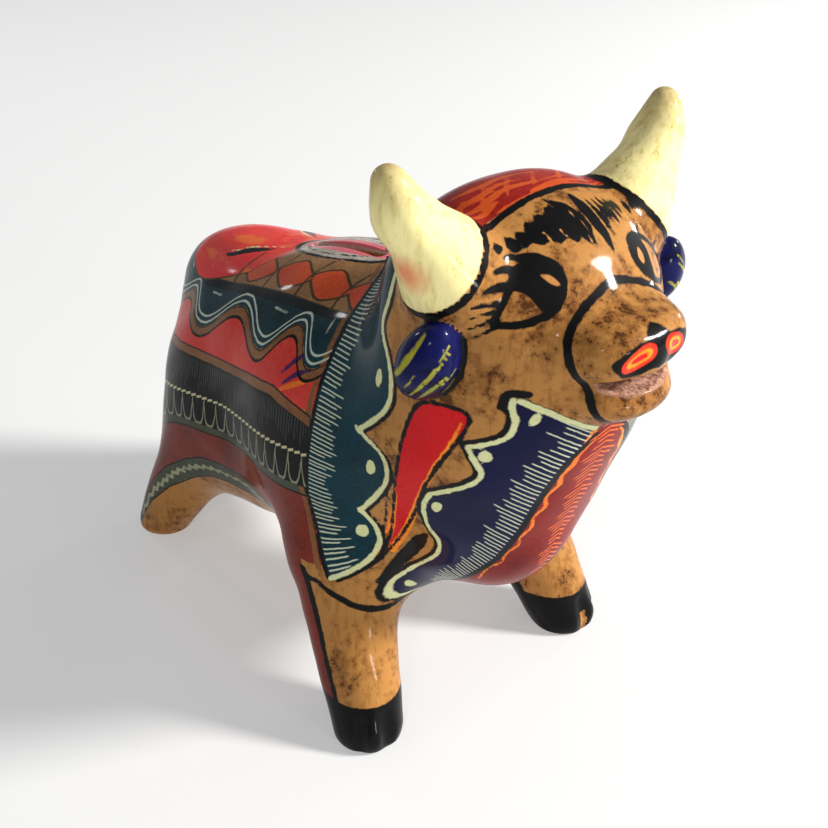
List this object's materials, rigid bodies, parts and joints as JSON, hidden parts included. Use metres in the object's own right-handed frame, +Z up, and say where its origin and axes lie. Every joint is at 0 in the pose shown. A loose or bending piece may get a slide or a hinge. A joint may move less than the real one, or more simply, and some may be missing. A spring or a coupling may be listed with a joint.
{
  "type": "pottery bull figure",
  "caption": "Hollow fired-clay bull figure on splayed legs with raised horns and a coin slot along the back, painted in bands and scallops and varnished.",
  "frame": {"origin": "on the ground under the middle of the figure", "axes": "+Z up, the bull faces -Y, its own right side is -X"},
  "size_m": [0.1042, 0.2078, 0.1873],
  "materials": {
    "painted_clay": "hand-painted fired clay under thick gloss varnish",
    "tan_clay": "mottled tan paint under gloss varnish",
    "cream_horn": "cream paint rubbed with grey under gloss varnish",
    "navy_ear": "navy paint with olive strokes under gloss varnish",
    "leg_clay": "mottled golden paint with black hooves under gloss varnish",
    "black_tail": "black paint under gloss varnish"
  },
  "bodies": {
    "root": {"right_half_shell": "painted_clay", "left_half_shell": "painted_clay", "muzzle": "tan_clay", "right_horn": "cream_horn", "left_horn": "cream_horn", "right_ear": "navy_ear", "left_ear": "navy_ear", "front_right_leg": "leg_clay", "front_left_leg": "leg_clay", "rear_right_leg": "leg_clay", "rear_left_leg": "leg_clay", "tail": "black_tail"}
  },
  "joints": []
}
